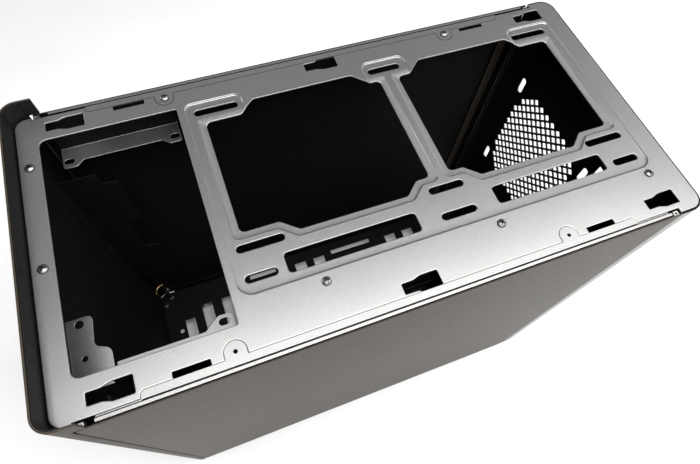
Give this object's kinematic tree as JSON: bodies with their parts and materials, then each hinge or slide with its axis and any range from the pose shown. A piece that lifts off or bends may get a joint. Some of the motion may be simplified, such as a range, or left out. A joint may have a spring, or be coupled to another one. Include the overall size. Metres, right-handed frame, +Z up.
{
  "type": "desktop computer tower",
  "caption": "Compact mini-tower computer case, top cover off: vented top panel with fan openings, front bezel, clip-on side panels, rear grille, motherboard tray and feet.",
  "frame": {"origin": "centre of the footprint, on the surface the feet stand on", "axes": "+Z up; the front bezel faces -Y; the motherboard side is +X"},
  "size_m": [0.203, 0.4066, 0.3734],
  "materials": {
    "chassis_paint": "gunmetal paint with a fine metallic speckle, satin",
    "rear_paint": "dark gunmetal paint, satin",
    "interior_paint": "near-black powder coat, matt",
    "panel_paint": "warm dark grey metallic paint, satin",
    "zinc": "bright zinc, stamped",
    "screw_zinc": "bright zinc plate",
    "black_plastic": "moulded black plastic, fine texture",
    "button_plastic": "moulded black plastic, semi-gloss",
    "lens": "clear light guide",
    "board": "green circuit board",
    "brass": "turned brass",
    "rubber": "black rubber",
    "filter_mesh": "fine woven nylon mesh"
  },
  "bodies": {
    "chassis": {"top_panel": "chassis_paint", "left_rail": "chassis_paint", "right_rail": "chassis_paint", "rear_panel": "rear_paint", "front_panel": "interior_paint", "bottom_panel": "interior_paint", "motherboard_tray": "interior_paint", "front_left_post": "interior_paint", "rear_left_post": "interior_paint", "left_bay_bracket": "chassis_paint", "right_bay_bracket": "chassis_paint", "front_bay_plate": "chassis_paint", "top_screws": "screw_zinc", "led_lens": "lens", "control_board": "board", "power_switch": "black_plastic", "reset_switch": "black_plastic", "usb_socket_upper": "screw_zinc", "usb_socket_lower": "screw_zinc", "audio_sockets": "black_plastic", "front_lead": "brass", "slot_cover_upper": "rear_paint", "slot_cover_lower": "rear_paint", "slot_screws": "screw_zinc", "board_standoffs": "brass", "grommet_upper": "rubber", "grommet_lower": "rubber", "ssd_pins": "screw_zinc", "psu_pads": "rubber", "filter_rails": "black_plastic", "front_left_foot": "black_plastic", "front_right_foot": "black_plastic", "rear_left_foot": "black_plastic", "rear_right_foot": "black_plastic", "front_left_pad": "rubber", "front_right_pad": "rubber", "rear_left_pad": "rubber", "rear_right_pad": "rubber"},
    "left_panel": {"left_side_panel": "panel_paint", "left_panel_clips": "zinc"},
    "right_panel": {"right_side_panel": "panel_paint", "right_panel_clips": "zinc"},
    "front": {"front_skin": "panel_paint", "front_liner": "black_plastic", "bezel_clips": "zinc"},
    "power_key": {"power_button": "button_plastic"},
    "reset_key": {"reset_button": "button_plastic"},
    "bottom_filter": {"bottom_filter_frame": "black_plastic", "bottom_filter_mesh": "filter_mesh"},
    "upper_drive_tray": {"ssd_tray_upper": "interior_paint"},
    "lower_drive_tray": {"ssd_tray_lower": "interior_paint"}
  },
  "joints": [
    {"name": "left_panel_pull", "type": "slide", "parent": "chassis", "child": "left_panel", "axis": [-1, 0, 0], "range_m": [0, 0.1]},
    {"name": "right_panel_pull", "type": "slide", "parent": "chassis", "child": "right_panel", "axis": [1, 0, 0], "range_m": [0, 0.1]},
    {"name": "front_pull", "type": "slide", "parent": "chassis", "child": "front", "axis": [0, -1, 0], "range_m": [0, 0.05]},
    {"name": "power_press", "type": "slide", "parent": "front", "child": "power_key", "axis": [0, 1, 0], "range_m": [0, 0.0016], "stiffness_N_per_m": 300},
    {"name": "reset_press", "type": "slide", "parent": "front", "child": "reset_key", "axis": [0, 1, 0], "range_m": [0, 0.0016], "stiffness_N_per_m": 300},
    {"name": "filter_slide", "type": "slide", "parent": "chassis", "child": "bottom_filter", "axis": [0, 1, 0], "range_m": [0, 0.17]},
    {"name": "upper_tray_lift", "type": "slide", "parent": "chassis", "child": "upper_drive_tray", "axis": [0, 0, 1], "range_m": [0, 0.01]},
    {"name": "lower_tray_lift", "type": "slide", "parent": "chassis", "child": "lower_drive_tray", "axis": [0, 0, 1], "range_m": [0, 0.01]}
  ]
}
